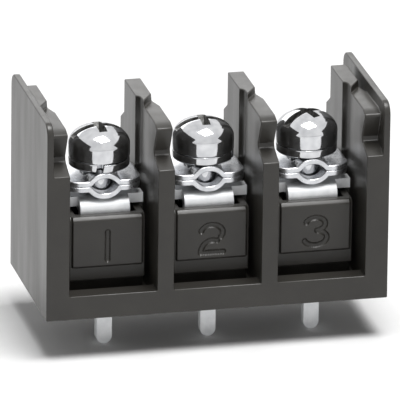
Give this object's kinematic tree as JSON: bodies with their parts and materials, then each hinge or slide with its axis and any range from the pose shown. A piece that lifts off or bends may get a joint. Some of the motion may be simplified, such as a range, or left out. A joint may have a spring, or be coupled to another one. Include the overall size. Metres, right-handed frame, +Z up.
{
  "type": "barrier terminal strip",
  "caption": "Board-mount barrier terminal strip: dark moulded housing with barriers between screw clamps, a numbered front and flat solder pins.",
  "frame": {"origin": "middle of the housing's seating face, on the top of the circuit board", "axes": "+X along the row of poles, -Y towards the numbered front, +Z up, away from the board"},
  "size_m": [0.0312, 0.0152, 0.0222],
  "materials": {
    "housing": "fine matte moulded",
    "tinned_brass": "matt tin plate",
    "clamp_steel": "bright nickel plate",
    "screw_steel": "bright nickel plate"
  },
  "bodies": {
    "housing_body": {"housing": "housing", "terminal_1": "tinned_brass", "terminal_2": "tinned_brass", "terminal_3": "tinned_brass"},
    "clamp_1": {"lower_clamp_plate_1": "clamp_steel", "upper_clamp_plate_1": "clamp_steel", "spring_washer_1": "screw_steel"},
    "screw_body_1": {"screw_1": "screw_steel"},
    "clamp_2": {"lower_clamp_plate_2": "clamp_steel", "upper_clamp_plate_2": "clamp_steel", "spring_washer_2": "screw_steel"},
    "screw_body_2": {"screw_2": "screw_steel"},
    "clamp_3": {"lower_clamp_plate_3": "clamp_steel", "upper_clamp_plate_3": "clamp_steel", "spring_washer_3": "screw_steel"},
    "screw_body_3": {"screw_3": "screw_steel"}
  },
  "joints": [
    {"name": "screw_1_lift", "type": "slide", "parent": "housing_body", "child": "clamp_1", "axis": [0, 0, 1], "range_m": [0, 0.0025]},
    {"name": "screw_1_turn", "type": "hinge", "parent": "clamp_1", "child": "screw_body_1", "pos_m": [-0.0095, -0.0012, 0.013], "axis": [0, 0, 1], "range_deg": [0, 1800]},
    {"name": "screw_2_lift", "type": "slide", "parent": "housing_body", "child": "clamp_2", "axis": [0, 0, 1], "range_m": [0, 0.0025]},
    {"name": "screw_2_turn", "type": "hinge", "parent": "clamp_2", "child": "screw_body_2", "pos_m": [0, -0.0012, 0.013], "axis": [0, 0, 1], "range_deg": [0, 1800]},
    {"name": "screw_3_lift", "type": "slide", "parent": "housing_body", "child": "clamp_3", "axis": [0, 0, 1], "range_m": [0, 0.0025]},
    {"name": "screw_3_turn", "type": "hinge", "parent": "clamp_3", "child": "screw_body_3", "pos_m": [0.0095, -0.0012, 0.013], "axis": [0, 0, 1], "range_deg": [0, 1800]}
  ],
  "couplings": [
    {"joint": "screw_1_turn", "follows": "screw_1_lift", "rad_per_m": 12566},
    {"joint": "screw_2_turn", "follows": "screw_2_lift", "rad_per_m": 12566},
    {"joint": "screw_3_turn", "follows": "screw_3_lift", "rad_per_m": 12566}
  ]
}
